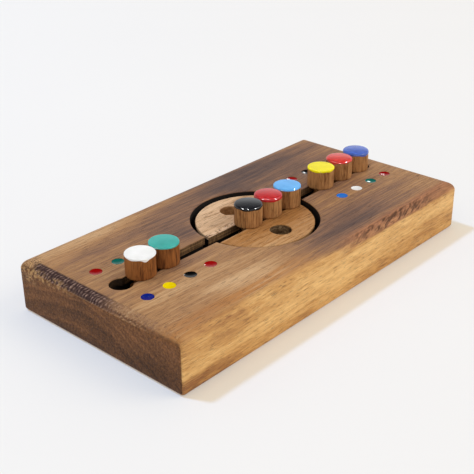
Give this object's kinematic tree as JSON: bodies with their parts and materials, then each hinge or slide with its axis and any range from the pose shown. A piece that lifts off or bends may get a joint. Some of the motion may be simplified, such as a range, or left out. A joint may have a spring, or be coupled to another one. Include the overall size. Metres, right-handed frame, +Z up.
{
  "type": "turntable peg puzzle",
  "caption": "Hardwood block puzzle: enamel-topped pegs are captive in a T-slot track that crosses a finger-turned turntable, with enamel dots for the goal order.",
  "frame": {"origin": "middle of the board's underside", "axes": "+X along the track, +Y across the board away from the picture's viewer, +Z up"},
  "size_m": [0.219, 0.11, 0.04],
  "materials": {
    "board_wood": "oiled, satin",
    "turntable_wood": "oiled, satin",
    "peg_wood": "turned, satin",
    "steel": "zinc plated",
    "white_enamel": "thick gloss enamel",
    "green_enamel": "thick gloss enamel",
    "black_enamel": "thick gloss enamel",
    "red_enamel": "thick gloss enamel",
    "light_blue_enamel": "thick gloss enamel",
    "yellow_enamel": "thick gloss enamel",
    "blue_enamel": "thick gloss enamel"
  },
  "bodies": {
    "board": {"board": "board_wood", "blue_dot_near_1": "blue_enamel", "yellow_dot_near_2": "yellow_enamel", "black_dot_near_3": "black_enamel", "red_dot_near_4": "red_enamel", "light_blue_dot_near_5": "light_blue_enamel", "white_dot_near_6": "white_enamel", "green_dot_near_7": "green_enamel", "red_dot_near_8": "red_enamel", "red_dot_far_1": "red_enamel", "green_dot_far_2": "green_enamel", "white_dot_far_3": "white_enamel", "light_blue_dot_far_4": "light_blue_enamel", "red_dot_far_5": "red_enamel", "black_dot_far_6": "black_enamel", "yellow_dot_far_7": "yellow_enamel", "blue_dot_far_8": "blue_enamel"},
    "turntable": {"turntable": "turntable_wood", "pivot_screw": "steel", "pivot_washer": "steel"},
    "white_peg": {"white_peg": "peg_wood", "white_cap": "white_enamel"},
    "green_peg": {"green_peg": "peg_wood", "green_cap": "green_enamel"},
    "black_peg": {"black_peg": "peg_wood", "black_cap": "black_enamel"},
    "red_inner_peg": {"red_inner_peg": "peg_wood", "red_inner_cap": "red_enamel"},
    "light_blue_peg": {"light_blue_peg": "peg_wood", "light_blue_cap": "light_blue_enamel"},
    "yellow_peg": {"yellow_peg": "peg_wood", "yellow_cap": "yellow_enamel"},
    "red_outer_peg": {"red_outer_peg": "peg_wood", "red_outer_cap": "red_enamel"},
    "blue_peg": {"blue_peg": "peg_wood", "blue_cap": "blue_enamel"}
  },
  "joints": [
    {"name": "turntable_spin", "type": "hinge", "parent": "board", "child": "turntable", "pos_m": [0, 0, 0.0267], "axis": [0, 0, 1], "continuous": true},
    {"name": "white_slide", "type": "slide", "parent": "board", "child": "white_peg", "axis": [1, 0, 0], "range_m": [-0.0124, 0]},
    {"name": "green_slide", "type": "slide", "parent": "board", "child": "green_peg", "axis": [1, 0, 0], "range_m": [0, 0.0234]},
    {"name": "black_slide", "type": "slide", "parent": "turntable", "child": "black_peg", "axis": [1, 0, 0], "range_m": [-0.0208, 0]},
    {"name": "red_inner_slide", "type": "slide", "parent": "turntable", "child": "red_inner_peg", "axis": [1, 0, 0], "range_m": [-0.0208, 0]},
    {"name": "light_blue_slide", "type": "slide", "parent": "turntable", "child": "light_blue_peg", "axis": [1, 0, 0], "range_m": [-0.0208, 0]},
    {"name": "yellow_slide", "type": "slide", "parent": "board", "child": "yellow_peg", "axis": [1, 0, 0], "range_m": [-0.0137, 0]},
    {"name": "red_outer_slide", "type": "slide", "parent": "board", "child": "red_outer_peg", "axis": [1, 0, 0], "range_m": [-0.0137, 0]},
    {"name": "blue_slide", "type": "slide", "parent": "board", "child": "blue_peg", "axis": [1, 0, 0], "range_m": [0, 0.0043]}
  ],
  "couplings": [
    {"joint": "red_inner_slide", "follows": "black_slide", "ratio": 1},
    {"joint": "light_blue_slide", "follows": "black_slide", "ratio": 1},
    {"joint": "red_outer_slide", "follows": "yellow_slide", "ratio": 1}
  ]
}
